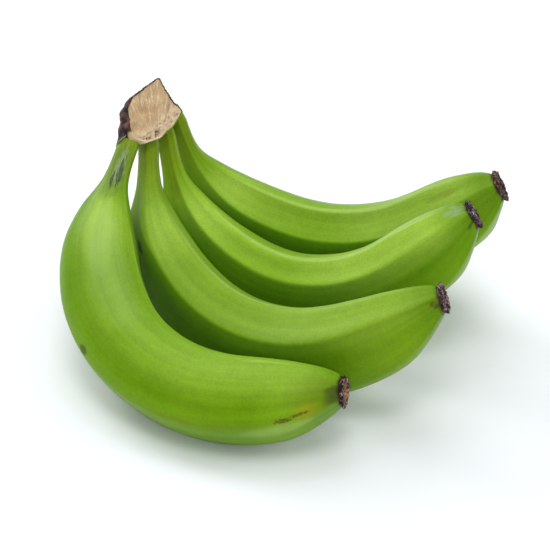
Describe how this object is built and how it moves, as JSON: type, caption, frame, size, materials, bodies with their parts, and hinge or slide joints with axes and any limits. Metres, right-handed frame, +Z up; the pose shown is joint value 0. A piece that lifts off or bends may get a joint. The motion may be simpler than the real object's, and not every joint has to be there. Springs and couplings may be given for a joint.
{
  "type": "hand of green plantains",
  "caption": "Hand of unripe green plantains joined at a cut crown, each a curved ridged fruit with a stalk and a dried blossom end, lying on its bellies.",
  "frame": {"origin": "on the surface the hand lies on, under the middle of its box", "axes": "+Z up; +X from the crown towards the blossom ends, the longest way; +Y across the hand towards its far fruit"},
  "size_m": [0.225, 0.2065, 0.1111],
  "materials": {
    "green_peel": "satin green peel, soft waxy sheen",
    "cut_crown": "dry fibrous cut face with dark dried rind at its edge",
    "dried_blossom": "matt crumpled dark brown"
  },
  "bodies": {
    "root": {"crown": "cut_crown", "finger_1": "green_peel", "finger_2": "green_peel", "finger_3": "green_peel", "finger_4": "green_peel", "tip_1": "dried_blossom", "tip_2": "dried_blossom", "tip_3": "dried_blossom", "tip_4": "dried_blossom"}
  },
  "joints": []
}
